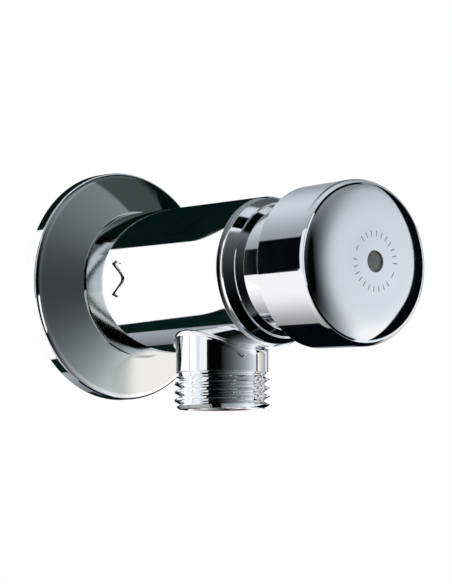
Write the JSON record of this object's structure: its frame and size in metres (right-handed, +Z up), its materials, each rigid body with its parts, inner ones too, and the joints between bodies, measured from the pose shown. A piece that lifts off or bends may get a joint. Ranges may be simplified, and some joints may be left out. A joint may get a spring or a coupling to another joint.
{
  "type": "timed urinal flush valve",
  "caption": "Wall mounted, push button, self closing urinal flush valve with a round wall plate, threaded inlet and threaded outlet pointing down.",
  "frame": {"origin": "where the valve's axis meets the face of the wall, at the back of the wall plate", "axes": "+Y along the valve's axis into the wall, +Z up, -Y towards the user"},
  "size_m": [0.0518, 0.0961, 0.0551],
  "materials": {
    "chrome": "polished",
    "brass": "turned",
    "steel": "bright",
    "rubber": "matte",
    "acetal": "moulded",
    "bush_plastic": "waxy",
    "plug_grey": "moulded"
  },
  "bodies": {
    "fixed": {"wall_plate": "chrome", "valve_body": "chrome", "inlet_strainer": "steel", "flow_regulator": "acetal", "regulator_ring": "rubber", "cartridge_barrel": "acetal", "barrel_seal_rear": "rubber", "barrel_seal_front": "rubber", "seat_ring": "brass", "guide_bush": "bush_plastic", "bonnet": "chrome", "bonnet_seal": "rubber", "stem_seal": "rubber", "gland_washer": "bush_plastic", "gland_nut": "brass", "return_spring": "steel"},
    "piston": {"timing_piston": "acetal", "piston_lip_seal": "rubber", "bleed_pin": "steel"},
    "button": {"push_button": "chrome", "button_screw": "steel", "button_plug": "plug_grey", "stem": "steel", "piston_clip": "steel", "valve_disc": "rubber", "disc_carrier": "brass", "disc_screw": "brass"}
  },
  "joints": [
    {"name": "button_push", "type": "slide", "parent": "fixed", "child": "piston", "axis": [0, 1, 0], "range_m": [0, 0.007], "stiffness_N_per_m": 1500, "springref_m": -0.01, "deforming": ["return_spring"]},
    {"name": "button_turn", "type": "hinge", "parent": "piston", "child": "button", "pos_m": [0, -0.043, 0], "axis": [0, 1, 0], "continuous": true}
  ]
}
